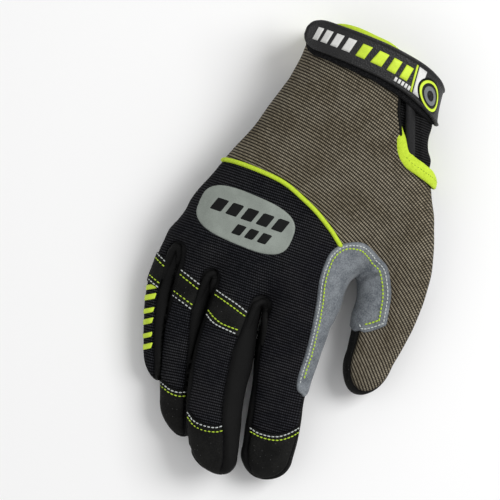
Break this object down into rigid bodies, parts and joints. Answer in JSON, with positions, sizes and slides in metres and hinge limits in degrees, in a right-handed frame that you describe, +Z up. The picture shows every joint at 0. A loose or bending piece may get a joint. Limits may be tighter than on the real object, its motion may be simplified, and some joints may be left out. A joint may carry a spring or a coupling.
{
  "type": "anti vibration work glove",
  "caption": "Right-hand anti vibration work glove lying palm down, with gel palm pads, knuckle bands, an elastic slit gusset and a hook-and-loop wrist strap.",
  "frame": {"origin": "centre of the glove's bounding box at the floor that it lies on", "axes": "+Z up through the back of the hand, +Y towards the cuff with the fingers towards -Y, +X towards the thumb"},
  "size_m": [0.1448, 0.252, 0.0563],
  "materials": {
    "knit_taupe": "ribbed stretch knit",
    "knit_black": "ribbed stretch knit",
    "stretch_black": "smooth stretch cloth",
    "leather_black": "matt synthetic leather",
    "suede_grey": "synthetic suede",
    "leather_ivory": "matt synthetic leather",
    "binding_lime": "woven tape",
    "hook_tape": "hook and loop tape",
    "rubber_black": "moulded, finely grained",
    "film_silver": "reflective film"
  },
  "bodies": {
    "root": {"back_panel": "knit_taupe", "knuckle_panel": "knit_black", "side_strip_little_ring": "stretch_black", "side_strip_ring_middle": "stretch_black", "side_strip_middle_index": "stretch_black", "tip_cap_index": "leather_black", "tip_cap_middle": "leather_black", "tip_cap_ring": "leather_black", "knuckle_band_middle": "leather_black", "knuckle_band_ring": "leather_black", "knuckle_band_little": "leather_black", "piping": "binding_lime", "palm_panel": "leather_black", "wrist_panel": "leather_ivory", "palm_patch": "suede_grey", "thumb_fork_patch": "suede_grey", "thumb_side_patch": "suede_grey", "pad_index_base": "suede_grey", "pad_middle_base": "suede_grey", "pad_ring_base": "suede_grey", "pad_little_base": "suede_grey", "pad_wedge": "suede_grey", "pad_heel_outer": "suede_grey", "pad_heel_inner": "suede_grey", "pad_heel_round": "suede_grey", "tip_pad_index": "suede_grey", "tip_pad_middle": "suede_grey", "tip_pad_ring": "suede_grey", "tip_pad_little": "suede_grey", "joint_pad_middle": "suede_grey", "joint_pad_ring": "suede_grey", "reflective_patch": "film_silver", "cuff_binding": "binding_lime", "slit_gusset": "stretch_black", "strap_tape": "hook_tape", "strap_tab": "rubber_black", "strap_badge": "rubber_black"}
  },
  "joints": []
}
